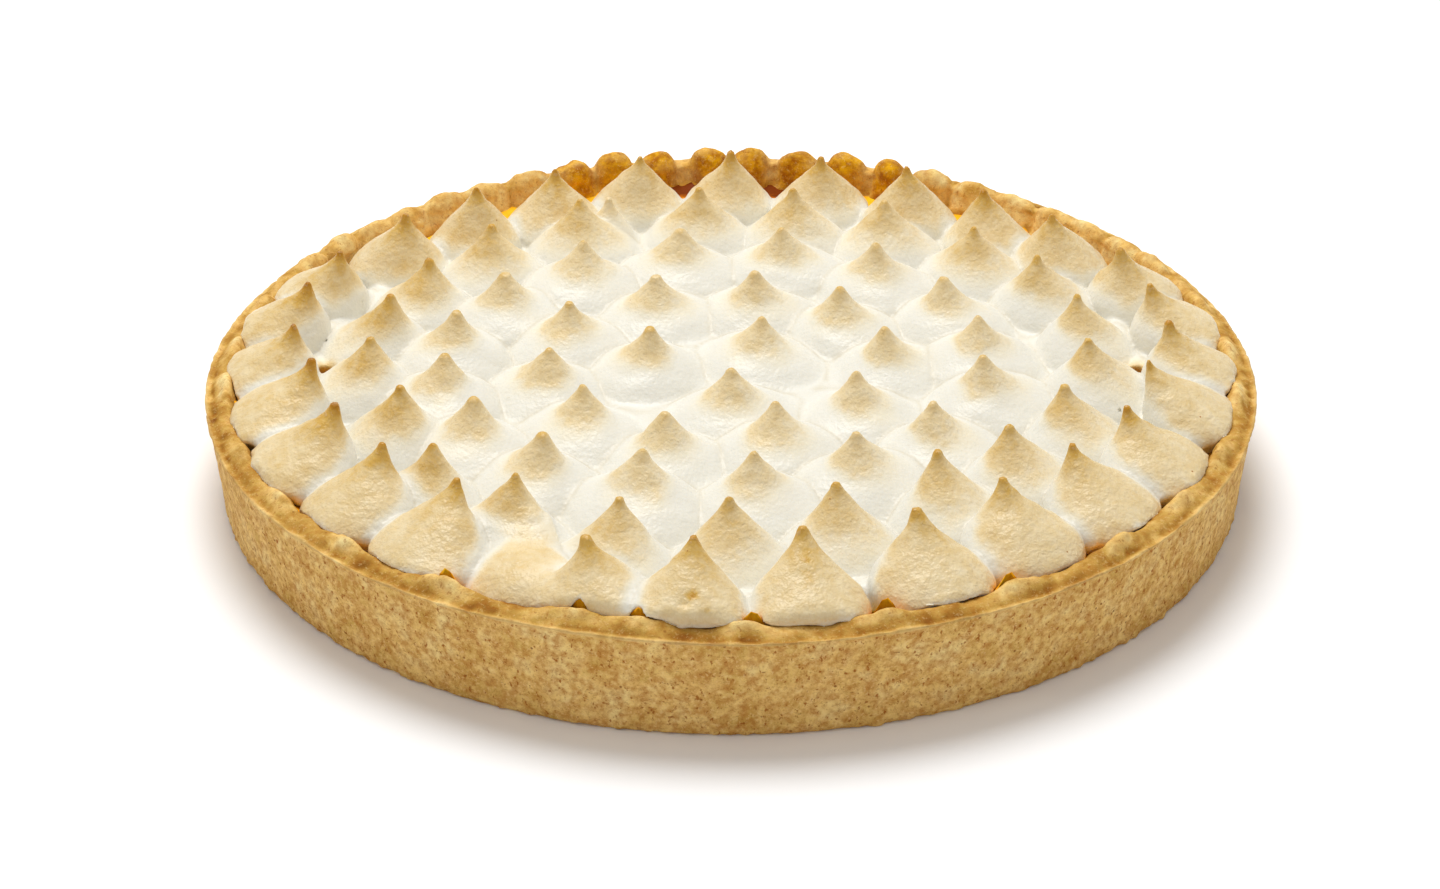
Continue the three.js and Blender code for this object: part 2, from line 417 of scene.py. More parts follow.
# how much of a knob stands at each angle (0 in a hollow), and how proud that knob is
def knobsAt(angle):
    halfPitch = math.pi / crust["knobs"]
    share = np.zeros_like(angle)
    pride = np.ones_like(angle)
    for middle, width, own, full in zip(*knobSizes()):
        away = turnFrom(angle, middle)
        here = full * np.clip(1 - (away / (halfPitch * width)) ** 2, 0, 1) ** crust["knobRound"]
        pride = np.where(here > share, own, pride)
        share = np.maximum(share, here)
    return share, pride


# how high the low side of the rim rises at each angle: a lump in each gap, and pressed down between them
def lumpsAt(angle):
    rng = np.random.default_rng(crust["lumpSeed"])
    rise = np.full_like(angle, -crust["sunk"])
    for gap in gaps:
        middle = gap + math.radians(rng.uniform(-1, 1) * crust["lumpStray"])
        width = math.radians(rng.uniform(*crust["lumpWidth"]))
        height = rng.uniform(*crust["lump"]) + crust["sunk"]
        rise += height * bell(turnFrom(angle, middle), width)
    around = circlePoints(crust["lumpRadius"], angle).reshape(-1, 3)
    return rise + noiseLayers(around, crust["lumpNoise"]).reshape(np.shape(angle))


# the rim's section at each angle, as [station, angle, (radius, height)]
def rimSections(angle):
    shelf, hollow, knob = [smoothCurve(section, crust["rimStations"])[:, None, :]
                           for section in (shelfSection, hollowSection, knobSection)]
    share, pride = knobsAt(angle)
    knobs = mixValues(hollow, knob, share[None, :, None])
    knobs[:, :, 1] *= np.where(knobs[:, :, 1] > 0, pride, 1)
    knobby = smoothStep(np.sin(angle), *crust["knobSide"])
    section = mixValues(shelf, knobs, knobby[None, :, None])
    crestRadius, crestWidth = crust["crest"]
    crest = bell(section[:, :, 0] - crestRadius, crestWidth)
    section[:, :, 1] += crest * lumpsAt(angle)[None, :] * (1 - knobby)
    section[:, :, 1] += crust["wallHeight"]
    return section


def makeCrust():
    angle = np.arange(crust["columns"]) / crust["columns"] * 2 * math.pi
    underside = [(radius, 0) for radius in crust["underside"]]
    foot = np.array(crust["foot"]) + (crust["baseRadius"], 0)
    edge = np.array(hollowSection[0]) + (0, crust["wallHeight"])
    lowWall = smoothCurve(foot, crust["footStations"])
    highWall = smoothCurve([foot[-1], edge], crust["wallStations"])
    outer = np.repeat(np.vstack([underside, lowWall, highWall[1:-1]])[:, None, :], len(angle), axis=1)
    inner = np.repeat(np.array(crust["lining"])[:, None, :], len(angle), axis=1)
    section = np.concatenate([outer, rimSections(angle), inner])
    piece = turnedPiece("pastryCase", circlePoints(section[:, :, 0], angle, section[:, :, 1]))
    zones = crustZones(pointsOf(piece))
    points = roughenCrust(piece, *zones)
    bakeAndShadeCrust(piece, points, *zones)
    return piece


# each point's radius, and how much it is on top of the rim and on its sharp outer edge
def crustZones(points):
    relief = crust["relief"]
    radius = radiusOf(points)
    up = points[:, 2] - crust["wallHeight"]
    lipRadius, lipWidth = relief["lip"]
    lip = bell(radius - lipRadius, lipWidth) * smoothStep(up, *relief["lipHeight"])
    return radius, smoothStep(up, *relief["top"]), lip


def roughenCrust(piece, radius, onTop, lip):
    relief = crust["relief"]
    points = pointsOf(piece)
    height = points[:, 2]
    shown = smoothStep(radius, *relief["radius"]) * smoothStep(height, *relief["height"])
    sand = noiseLayers(points, relief["sand"]) * relief["sandiness"]
    shift = sand * mixValues(1, relief["sandOnTop"], onTop * (1 - lip))
    shift += onTop * noiseLayers(points, relief["topNoise"]) * (1 - lip)
    shift += lip * (relief["lipRise"] + noiseLayers(points, relief["lipNoise"]))
    shift += relief["wall"] * (1 - onTop) * (height > relief["wallFrom"])
    crumbly = smoothStep(relief["crumbsBelow"] - height, 0, 2) * (radius > relief["crumbsFrom"])
    shift += crumbly * noiseLayers(points, relief["crumbs"])
    points += normalsOf(piece) * (shift * shown)[:, None]
    points[:, 2] = np.maximum(points[:, 2], 0)
    points[:, 2] += onTop * noiseLayers(points, relief["sway"])
    overhang = radiusOf(points) / crust["rimRadius"]
    points[:, :2] /= np.maximum(overhang, 1)[:, None]
    movePoints(piece, points)
    return points


# the crust's baked colours, with painted shade and painted highlights among their shares
def bakeAndShadeCrust(piece, points, radius, onTop, lip):
    look = crust["bakeAndPaintedShading"]
    height = points[:, 2]
    turn = np.arctan2(points[:, 1], points[:, 0])
    share, _ = knobsAt(turn)
    tall = smoothStep(np.sin(turn), *crust["tallSide"])
    knobby = smoothStep(np.sin(turn), *crust["knobSide"])
    raised = np.clip(lumpsAt(turn) / crust["lump"][1], -0.5, 1) * (1 - knobby)
    inside = smoothStep(look["insideFrom"] - radius, 0, 2) * (height > look["insideAbove"])
    onRim = np.clip(onTop + inside, 0, 1)
    troughRadius, troughWidth = look["troughAt"]
    trough = bell(radius - troughRadius, troughWidth) * onTop * (1 - tall)
    bakeAndPaintedShading = look["start"] + look["trough"] * trough + look["top"] * onTop * (1 - tall)
    # painted highlight on the lumps, painted shade where the rim is pressed down under the kisses
    bakeAndPaintedShading += look["lumps"] * raised * onTop * (1 - trough)
    # painted shade: darker towards the foot of the wall
    bakeAndPaintedShading += look["foot"] * smoothStep(look["footBelow"] - height, 0, look["footBelow"])
    # caramel and painted shade where the shelf dips inside
    inwards = smoothStep(look["innerFrom"] - radius, 0, 2)
    bakeAndPaintedShading += (look["shelf"] + look["innerShelf"] * inwards) * (1 - knobby) * onRim
    # caramel and painted shade in the hollows between the low knobs
    bakeAndPaintedShading += look["hollows"] * smoothStep(0.3 - share, 0, 0.3) * knobby * (1 - tall) * onRim
    bakeAndPaintedShading += look["knobs"] * knobby * (1 - tall) * onRim
    # caramel and painted shade low down inside the rim
    bakeAndPaintedShading += look["deep"] * smoothStep(look["deepBelow"] - height, 0, 3) * inside
    for onWall, onTopOfIt, size, seed in look["patchy"]:
        bakeAndPaintedShading += mixValues(onWall, onTopOfIt, onRim) * softNoise(points, size, seed)
    gold = mixValues(look["goldLow"], 1, tall) * mixValues(look["goldHollow"], 1, share)
    goldRadius, goldWidth = look["goldAt"]
    gold *= knobby * onRim * smoothStep(goldRadius - radius, 0, goldWidth)
    gold *= look["gold"] + noiseLayers(points, look["goldNoise"])
    # painted highlight: less gold on the knobs' tops, so they read paler
    gold *= 1 + look["paintedHighlightTop"] * smoothStep(height - crust["wallHeight"], *look["paintedHighlightFrom"])
    setAttribute(piece, "bakeAndPaintedShading", np.clip(bakeAndPaintedShading, 0, 1))
    setAttribute(piece, "gold", np.clip(gold, 0, 1))
    setAttribute(piece, "rim", onRim)
    setAttribute(piece, "edge", np.clip(lip * (look["edge"] + noiseLayers(points, look["edgeNoise"])), 0, 1))


curd = {
    "top": 20.5,
    "under": [[1, 4.9], [80, 4.9], [121.2, 4.9], [123.6, 14]],  # its underside and side, as [radius, height]
    "rows": [[127.6, 117.5, 16], [115.5, 60, 22], [30, 1]],  # radii of its upper side, from outside in
    "flatTo": 117.5,
    "edge": 126.5,
    "climb": [0.8, 3.2],  # how far its skin has boiled up the crust, least and most
    "climbSide": [-0.7, 0.3],  # from the back to the front
    "patchy": [[0.7, 5, 41]],  # noise, as [amount, size, seed]
    "ragged": [[0.8, 1.7, 45]],
    "noiseRadius": 60,
    "bubble": [7.8, 9],  # how far it has boiled up in the gaps between the outer kisses
    "bubbleWidth": 1.9,  # degrees
    "bubbleSide": [0.6, 0.85],  # only at the front
    "columns": 540,
    "burntFrom": [117, 124],  # radius
    "burnt": 0.05,
    "burntFront": 0.2,
    "frontSide": [0.3, 0.7],
    "burntBehind": 1.05,
    "backSide": [0.94, 0.98],
    "burntNoise": [[0.18, 5, 42], [0.14, 2.2, 44]],
    "seed": 43,
}


# the curd's height where it climbs towards the crust
def curdHeight(x, y):
    angle = np.arctan2(y, x)
    around = circlePoints(curd["noiseRadius"], angle).reshape(-1, 3)
    patchy = noiseLayers(around, curd["patchy"]).reshape(np.shape(angle))
    ragged = noiseLayers(around, curd["ragged"]).reshape(np.shape(angle))
    climb = mixValues(*curd["climb"], smoothStep(-np.sin(angle), *curd["climbSide"])) * (1 + patchy) + ragged
    rng = np.random.default_rng(curd["seed"])
    for gap in gaps:
        bubble = rng.uniform(*curd["bubble"]) * smoothStep(-math.sin(gap), *curd["bubbleSide"])
        climb = np.maximum(climb, bubble * bell(turnFrom(angle, gap), math.radians(curd["bubbleWidth"])))
    near = np.clip((np.hypot(x, y) - curd["flatTo"]) / (curd["edge"] - curd["flatTo"]), 0, 1.1)
    return curd["top"] + climb * near ** 2


def makeCurd():
    angle = np.arange(curd["columns"]) / curd["columns"] * 2 * math.pi
    rows = [circlePoints(radius, angle, height) for radius, height in curd["under"]]
    outer, inner, middle = curd["rows"]
    for radius in np.concatenate([np.linspace(*outer), np.linspace(*inner), middle]):
        x = radius * np.cos(angle)
        y = radius * np.sin(angle)
        rows.append(np.stack([x, y, curdHeight(x, y)], axis=1))
    piece = turnedPiece("lemonCurd", np.array(rows))
    points = pointsOf(piece)
    radius = radiusOf(points)
    behind = smoothStep(points[:, 1] / radius, *curd["backSide"])
    front = smoothStep(-points[:, 1] / radius, *curd["frontSide"])
    burnt = curd["burnt"] + curd["burntFront"] * front + curd["burntBehind"] * behind
    burnt = burnt * smoothStep(radius, *curd["burntFrom"]) + noiseLayers(points, curd["burntNoise"])
    setAttribute(piece, "burnt", np.clip(burnt, 0, 1))
    return piece


# a kiss's radius at each depth below its tip, for each kind
outlineDepths = [0, 0.4, 1.5, 3, 5, 7, 9, 11, 13, 15, 17, 19, 22]
outlines = {
    "outer": [0.2, 0.75, 1.15, 1.9, 3.4, 5.5, 8, 10.5, 12.6, 13.9, 14.3, 13.9, 12.6],
    "back": [0.2, 0.75, 1.15, 1.8, 3.3, 5, 6.7, 8.4, 10.1, 11.8, 13.1, 13.6, 13],
    "middle": [0.2, 0.75, 1.2, 2.1, 3.7, 5.5, 7.4, 9.5, 11.7, 13.6, 15, 16, 17],
    "inner": [0.25, 0.85, 1.5, 2.5, 4.2, 6, 8.7, 12.2, 14.9, 16.7, 17.9, 18.5, 19],
    "slumped": [1.6, 2.4, 4, 6, 8.2, 9.8, 11, 12, 12.8, 13.2, 13.2, 12.8, 12],
    "belly": [2.6, 4.6, 7.2, 9.6, 11.6, 12.7, 13.2, 13.4, 13.4, 13.2, 12.8, 12.4, 12],
}
# burst bubbles in the skin of two front kisses, and the browned insides of the two pits, as
# [x, y, z, radius, depth, how brown]
pores = [
    [-8.4, -125.4, 34.1, 0.85, 1, 1.5], [-10.2, -127.3, 32.9, 1.4, 1, 0.12],
    [-5.3, -129.2, 31.8, 0.7, 0.3, 0.3], [17.3, -115.6, 36.7, 0.7, 0.4, 0.25],
    [16.8, -121, 34, 0.8, 0.4, 0.3], [17.4, -118.4, 35.4, 0.6, 0.3, 0.2],
    [-105.8, 2.2, 22.5, 3.4, 0, 1], [105.4, 1.8, 22.5, 3.4, 0, 1],
]
meringue = {
    "cell": 0.65,  # of the grid that it is made on
    "gridSide": 132,
    "gridTop": 45,
    "band": 3.0,  # cells further than this from its surface are all alike
    "blend": 0.4,  # how softly the kisses run into each other
    "spread": 21,  # no kiss reaches further than this from its middle
    "fullWidth": 27,
    "nubAt": [0.8, 1.2],  # depth and width of the bulge at the very tip
    "pullFrom": 0.2,  # how far up a kiss starts to bend inwards, and to lean
    "leanFrom": 0.3,
    "bottom": 20.7,
    "bedTop": 23,
    "bedRadius": 119,
    "bedMiddle": [-1, -3],
    "bedSlope": 0.8,
    "bedDip": 1.4,
    "bedDipsFrom": [90, 110],
    "bedFall": 14,
    "bedFallsFrom": [108, 124],
    "web": 4.5,  # how high the meringue has filled the gaps between the outer kisses
    "webWidth": 4.5,  # degrees
    "webFrom": [97, 112],
    "spill": 129.8,  # how far out the outermost kisses have spread over the crest
    "spillNoise": [[0.6, 5, 55]],
    "spillBlend": 2.2,
    # where the curd shows
    "window": {"reach": 127.8, "radius": [2.8, 4], "foot": 25.5, "height": [4.2, 5.2]},
    "windowSide": [-0.1, 0.4],
    "windowBlend": 0.6,
    "windowRoom": 6,
    "windowSeed": 57,
    "notch": {"reach": 130, "height": 4.6},
    "pits": {"places": [[-105.8, 2.2], [105.4, 1.8]], "radius": 3.2, "foot": 20, "height": 9.5},
    "settlesOn": [124, 135],  # the crust's radii, inside and outside
    "settleSteps": [1441, 45],  # round it and across it
    "sunkIn": 0.12,  # how far the outer kisses' feet have sunk into the crust
    "footNoise": [[0.25, 2.4, 56]],
    "overCurd": 0.1,
    "relief": [[0.3, 9, 51], [0.26, 4, 52]],
    "fineRelief": [0.07, 0.16],  # in the middle, and on the outer kisses
    "fineSide": [100, 116],
    "fineNoise": [[1, 1.8, 53]],
    "reliefFrom": [22.5, 25],
    "faces": 192000,
    # how toasted it is, from 0 to 1: how far down from the tip of each kind of kiss, and how strongly
    "toasting": {
        "outer": {"reach": 11.5, "tip": 34.4, "ragged": 0.8, "fade": [6, 3], "fadeBehind": 9,
                  "level": [0.34, 0.36], "uneven": 0.05, "top": 0.2, "topDepth": 6,
                  "slumpedReach": 15, "slumpedRagged": 1.5, "slumpedTip": 0.4},
        "middle": {"reach": 13.8, "facing": 3, "ragged": 0.9, "level": 0.23, "fade": 6,
                   "topReach": 10, "topLevel": [0.2, 0.12], "topFade": [3, 6]},
        "inner": {"reach": 10.4, "facing": 1.2, "ragged": 0.7, "level": 0.155, "fade": 4,
                  "topReach": 8.8, "topLevel": [0.125, 0.075], "topFade": [1.8, 5]},
        "turnedIn": 8,  # millimetres over which a kiss behind turns from its outer to its inner side
        "halfWidth": 12,
        "facingBehind": 0.6,
        "tips": [[0.12, 4], [0.16, 1.2]],  # more at the very tip, as [amount, depth]
        "noise": [[1, 6, 61], [0.5, 2.5, 62]],
        # painted light: flanks whose normal faces +x, from the first to the second value, get paler toast
        "paintedLightFacing": [-0.1, 0.75],
        "outside": [96, 106],
        "whiteGap": [1.8, 4.6],  # how wide the white between kisses is, in the middle and outside
        "gapShare": 0.55,  # how much weaker it is in the middle
        "lowEdge": [-0.2, 1.4],  # the untoasted edge at the foot
        "lowEdgeFrom": [112, 8],  # radius and width
        "lowest": 0.3,
        "blend": 1.2,
        # painted shade along the creases where two kisses meet: its width, and the height it stays below
        "creaseShadeWidth": 0.7,
        "creaseShadeBelow": 34,
    },
}


# how far outside a kiss each place is, in millimetres, roughly
def distanceFromKiss(kiss, x, y, z):
    outline = np.array(outlines[kiss["outline"]])
    if kiss["outline"] == "outer":
        outline = mixValues(outline, np.array(outlines["back"]), kiss["behind"])
    depth = kiss["tip"] - z
    size = kiss["width"] / meringue["fullWidth"]
    nubDepth, nubWidth = meringue["nubAt"]
    nub = kiss["nub"] * np.exp(-np.abs(depth - nubDepth) / nubWidth)
    radius = np.interp(depth, outlineDepths, outline) * size + nub
    step = 0.3
    lower = np.interp(depth + step, outlineDepths, outline)
    slope = (lower - np.interp(depth - step, outlineDepths, outline)) / (2 * step)
    rise = 1 - np.clip(depth / kiss["leanDepth"], 0, 1)
    lean = kiss["pull"] * smoothStep(rise, meringue["pullFrom"], 1)
    drift = smoothStep(rise, meringue["leanFrom"], 1) - 1
    dx = x - (kiss["middle"][0] - lean * math.cos(kiss["angle"]) + kiss["lean"][0] * drift)
    dy = y - (kiss["middle"][1] - lean * math.sin(kiss["angle"]) + kiss["lean"][1] * drift)
    turn = np.arctan2(dy, dx)
    uneven = 1 + kiss["squash"][0] * np.cos(2 * (turn - kiss["squash"][1]))
    uneven += kiss["lobes"][0] * np.cos(3 * turn - kiss["lobes"][1])
    away = (np.hypot(dx, dy) - radius * uneven) / np.sqrt(1 + np.clip(slope, -3, 3) ** 2)
    above = np.clip(-depth, 0, None)
    return np.maximum(away + above, kiss["blunt"] - depth)


# the crust's upper surface, which the outermost kisses have settled on
def crustHeight(x, y):
    radius = np.hypot(x, y)
    inner, outer = meringue["settlesOn"]
    columns = np.linspace(-math.pi, math.pi, meringue["settleSteps"][0])
    radii = np.linspace(inner, outer, meringue["settleSteps"][1])
    sections = rimSections(columns)[4:].transpose(1, 0, 2)  # from the outer edge's top inwards
    table = np.array([np.interp(-radii, -line[:, 0], line[:, 1]) for line in sections])
    table[:, 0] = 0
    u = (np.arctan2(y, x) + math.pi) / (2 * math.pi) * (len(columns) - 1)
    v = np.clip((radius - inner) / (outer - inner) * (len(radii) - 1), 0, len(radii) - 1.001)
    i = np.clip(u.astype(int), 0, len(columns) - 2)
    j = v.astype(int)
    s = u - i
    t = v - j
    low = mixValues(table[i, j], table[i, j + 1], t)
    high = mixValues(table[i + 1, j], table[i + 1, j + 1], t)
    return np.where(radius < inner + 0.5, 0, mixValues(low, high, s))


# the openings where the curd shows, as cones [x, y, radius, foot, height]: between the feet of the front
# kisses, and two deep pits behind the outer ring
def layOutWindows():
    rng = np.random.default_rng(meringue["windowSeed"])
    window = meringue["window"]
    notchGap = math.radians(piping["notchAngle"])
    windows = []
    for gap in gaps:
        radius = rng.uniform(*window["radius"]) * smoothStep(-math.sin(gap), *meringue["windowSide"])
        height = rng.uniform(*window["height"])
        reach = window["reach"]
        if gap == notchGap:
            reach = meringue["notch"]["reach"]
            height = meringue["notch"]["height"]
        if radius >= 1:
            windows.append([reach * math.cos(gap), reach * math.sin(gap), radius, window["foot"], height])
    pits = meringue["pits"]
    return windows + [[x, y, pits["radius"], pits["foot"], pits["height"]] for x, y in pits["places"]]


# the part of the grid within "reach" of a place, and its cells' x and y
def cutOut(side, place, reach):
    rows = [np.nonzero(np.abs(side - value) < reach)[0] for value in place]
    x, y = np.ix_(*[side[row] for row in rows])
    return tuple(slice(row[0], row[-1] + 1) for row in rows), x[:, :, None], y[:, :, None]


def openWindows(field, side, up):
    for px, py, radius, foot, height in layOutWindows():
        part, x, y = cutOut(side, (px, py), meringue["windowRoom"])
        taper = radius * (1 - (up - foot) / height)
        field[part] = smoothMax(field[part], taper - np.hypot(x - px, y - py), meringue["windowBlend"])
    return field


# how strongly something fills each cell; where two things meet, their shares add up
def fillShare(away):
    return np.exp(-np.clip(away, -9, 9) / meringue["blend"]).astype(np.float32)


def fillKisses(side, up):
    total = np.zeros((len(side), len(side), len(up)), np.float32)
    for kiss in kisses:
        part, x, y = cutOut(side, kiss["middle"], meringue["spread"])
        total[part] += fillShare(distanceFromKiss(kiss, x, y, up) * kiss["melt"])
    return total


# the layer that the kisses stand on, which has risen in the gaps between the outer ones
def fillBed(x, y, up):
    radius = np.hypot(x - meringue["bedMiddle"][0], y - meringue["bedMiddle"][1])
    turn = np.arctan2(y, x)
    top = meringue["bedTop"] - meringue["bedDip"] * smoothStep(radius, *meringue["bedDipsFrom"])
    webbed = smoothStep(radius, *meringue["webFrom"])
    for gap in gaps:
        top += meringue["web"] * bell(turnFrom(turn, gap), math.radians(meringue["webWidth"])) * webbed
    top -= meringue["bedFall"] * smoothStep(radius, *meringue["bedFallsFrom"])
    above = (up - top[:, :, None]) * meringue["bedSlope"]
    return fillShare(np.maximum(above, (radius - meringue["bedRadius"])[:, :, None]))


# the meringue as a field on the grid, below 0 inside it
def meringueField(side, up):
    x, y = np.meshgrid(side, side, indexing="ij")
    around = np.stack([x, y, 0 * x], axis=-1).reshape(-1, 3)
    total = fillKisses(side, up) + fillBed(x, y, up)
    field = -meringue["blend"] * np.log(total + 1e-6)
    spill = meringue["spill"] + noiseLayers(around, meringue["spillNoise"]).reshape(x.shape)
    field = smoothMax(field, (np.hypot(x, y) - spill)[:, :, None], meringue["spillBlend"])
    field = openWindows(field, side, up)
    ragged = noiseLayers(around, meringue["footNoise"]).reshape(x.shape) - meringue["sunkIn"]
    onCurd = np.maximum(curdHeight(x, y) + meringue["overCurd"], meringue["bottom"])
    floor = np.maximum(crustHeight(x, y) + ragged, onCurd)
    return np.maximum(field, floor[:, :, None] - up).astype(np.float32)


def makeMeringue():
    cell = meringue["cell"]
    band = meringue["band"]
    side = np.arange(-meringue["gridSide"], meringue["gridSide"] + 0.01, cell)
    up = np.arange(meringue["bottom"] - 1.5, meringue["gridTop"], cell)
    grid = openvdb.FloatGrid(band)
    grid.copyFromArray(np.clip(meringueField(side, up), -band, band))
    points, triangles, quads = grid.convertToPolygons(isovalue=0.0, adaptivity=0.01)
    points = points * cell + np.array([side[0], side[0], up[0]])
    piece = makeObject("toastedMeringue", points, triangles.tolist() + quads.tolist())
    roughenMeringue(piece)
    reduceFaces(piece, meringue["faces"])
    toastMeringue(piece)
    return piece


def roughenMeringue(piece):
    points = pointsOf(piece)
    normals = normalsOf(piece)
    free = smoothStep(points[:, 2], *meringue["reliefFrom"])
    fine = mixValues(*meringue["fineRelief"], smoothStep(radiusOf(points), *meringue["fineSide"]))
    shift = noiseLayers(points, meringue["relief"]) + fine * noiseLayers(points, meringue["fineNoise"])
    points -= normals * (shift * free)[:, None]
    for x, y, z, radius, depth, _ in pores:
        away = np.linalg.norm(points - (x, y, z), axis=1)
        points -= normals * (depth * bell(away, radius))[:, None]
    movePoints(piece, points)


def reduceFaces(piece, wanted):
    piece.data.calc_loop_triangles()
    triangles = len(piece.data.loop_triangles)
    if triangles <= wanted:
        return
    reducer = piece.modifiers.new("reduce", "DECIMATE")
    reducer.ratio = wanted / triangles
    bpy.context.view_layer.update()
    shape = piece.evaluated_get(bpy.context.evaluated_depsgraph_get())
    mesh = bpy.data.meshes.new_from_object(shape)
    piece.modifiers.clear()
    piece.data = mesh
    piece.data.polygons.foreach_set("use_smooth", [True] * len(mesh.polygons))


# an outer kiss: toasted most on the side that faces outwards
def outerToast(kiss, depth, facing, turnedIn, noise):
    look = meringue["toasting"]["outer"]
    outwards = smoothStep(facing, -0.9, 0.3)
    fade = mixValues(mixValues(*look["fade"], outwards), look["fadeBehind"], turnedIn)
    if kiss["outline"] == "outer":
        reach = look["reach"] + (kiss["tip"] - look["tip"]) * outwards + look["ragged"] * noise
    else:
        reach = look["slumpedReach"] + look["slumpedRagged"] * noise
    level = mixValues(*look["level"], kiss["behind"]) + look["uneven"] * noise
    level = level * smoothStep(reach - depth, 0, fade)
    if kiss["outline"] == "outer":
        level += look["top"] * bell(np.clip(depth, 0, None), look["topDepth"])
    elif kiss["outline"] == "slumped":
        level *= mixValues(look["slumpedTip"], 1, smoothStep(depth, 0.5, 6))
    return level


# a kiss further in: a broad blush, and a deeper one above it; the deeper one is painted paler and softer, as
# light, on flanks facing +x
def innerToast(kiss, depth, facing, noise, paintedLightSide):
    look = meringue["toasting"][kiss["outline"]]
    ragged = look["ragged"] * noise
    reach = look["reach"] + look["facing"] * facing + ragged
    level = look["level"] * smoothStep(reach - depth, 0, look["fade"])
    topFade = mixValues(*look["topFade"], paintedLightSide)
    top = mixValues(*look["topLevel"], paintedLightSide) * smoothStep(look["topReach"] + ragged - depth, 0, topFade)
    return level + top


def toastOf(kiss, points, noise, paintedLightSide):
    look = meringue["toasting"]
    x, y, z = points.T
    depth = kiss["tip"] - z
    outwards = (x - kiss["middle"][0]) * math.cos(kiss["angle"])
    outwards += (y - kiss["middle"][1]) * math.sin(kiss["angle"])
    turnedIn = kiss["behind"] * (1 - smoothStep(outwards, 0, look["turnedIn"]))
    facing = mixValues(np.clip(outwards / look["halfWidth"], -1, 1), look["facingBehind"], turnedIn)
    if kiss["outline"] in ("middle", "inner"):
        level = innerToast(kiss, depth, facing, noise, paintedLightSide)
    else:
        level = outerToast(kiss, depth, facing, turnedIn, noise)
    if kiss["outline"] not in ("slumped", "belly"):
        for amount, reach in look["tips"]:
            level += amount * np.exp(-np.clip(depth, 0, None) / reach)
    return level * kiss["toast"]


# how toasted each point is, from how high and how exposed it stands on its kiss, with painted light on
# flanks facing +x and more toast on the left kisses as painted shade; also a painted shade along the creases
def toastMeringue(piece):
    look = meringue["toasting"]
    points = pointsOf(piece)
    # painted light: the toast is weaker and fades out more softly on flanks facing +x, so that side reads
    # paler as if lit
    paintedLightSide = smoothStep(normalsOf(piece)[:, 0], *look["paintedLightFacing"])
    x, y, z = points.T
    far = 99.0
    nearest = np.full(len(points), far)
    second = np.full(len(points), far)
    melted = np.zeros(len(points), bool)
    toast = np.zeros(len(points))
    total = np.full(len(points), 1e-9)
    noise = noiseLayers(points, look["noise"])
    for kiss in kisses:
        away = np.full(len(points), far)
        near = np.nonzero(np.hypot(x - kiss["middle"][0], y - kiss["middle"][1]) < meringue["spread"] + 1)[0]
        away[near] = distanceFromKiss(kiss, x[near], y[near], z[near])
        mine = away < nearest
        apart = ~(melted & (kiss["melt"] < 1))  # kisses that have melted together have no white between them
        second = np.where(apart, np.minimum(second, np.where(mine, nearest, away)), second)
        melted = np.where(mine, kiss["melt"] < 1, melted)
        nearest = np.minimum(nearest, away)
        share = np.exp(-np.clip(away, -20, 40) / look["blend"])
        toast += toastOf(kiss, points, noise, paintedLightSide) * share
        total += share
    browned = np.zeros(len(points))
    for px, py, pz, size, _, brown in pores:
        browned += brown * bell(np.linalg.norm(points - (px, py, pz), axis=1), size)
    radius = np.hypot(x, y)
    outside = smoothStep(radius, *look["outside"])
    crowd = smoothStep(second - nearest, 0.2, mixValues(*look["whiteGap"], outside))
    crowd = mixValues(crowd, 1, look["gapShare"] * (1 - outside))
    standsOn = np.maximum(crustHeight(x, y), curdHeight(x, y))
    lowEdge = smoothStep(z - standsOn + 0.5 * noise, *look["lowEdge"])
    edgeRadius, edgeWidth = look["lowEdgeFrom"]
    lowEdge += smoothStep(edgeRadius - radius, 0, edgeWidth)
    toast = toast / total * crowd * np.clip(lowEdge, look["lowest"], 1) + browned
    # painted shade: how near each point is to a crease between two kisses, left out where the pits are
    # browned
    creaseShade = np.exp(-np.clip(second - nearest, 0, None) / look["creaseShadeWidth"]) * (z < look["creaseShadeBelow"])
    setAttribute(piece, "creaseShade", creaseShade * (1 - np.clip(browned, 0, 1)))
    setAttribute(piece, "toast", np.clip(toast, 0, 1))


def makeGroup(name, inputs, outputs):
    group = bpy.data.node_groups.new(name, "ShaderNodeTree")
    for labels, way in ((inputs, "INPUT"), (outputs, "OUTPUT")):
        for label in labels:
            group.interface.new_socket(label, in_out=way, socket_type="NodeSocketFloat")
    return group, group.nodes.new("NodeGroupInput").outputs, group.nodes.new("NodeGroupOutput").inputs


# puts a value, or what another node gives, into a socket
def feed(tree, socket, value):
    if isinstance(value, bpy.types.NodeSocket):
        tree.links.new(value, socket)
    else:
        socket.default_value = value


def addMath(tree, operation, first, second, kind="ShaderNodeMath"):
    node = tree.nodes.new(kind)
    node.operation = operation
    feed(tree, node.inputs[0], first)
    feed(tree, node.inputs[1], second)
    return node.outputs[0]


def multiply(tree, first, second):
    return addMath(tree, "MULTIPLY", first, second)


def addRange(tree, value, low, high):
    node = tree.nodes.new("ShaderNodeMapRange")
    node.interpolation_type = "SMOOTHSTEP"
    for label, source in (("Value", value), ("From Min", low), ("From Max", high)):
        feed(tree, node.inputs[label], source)
    return node.outputs["Result"]


def addPlace(tree):
    return tree.nodes.new("ShaderNodeTexCoord").outputs["Object"]


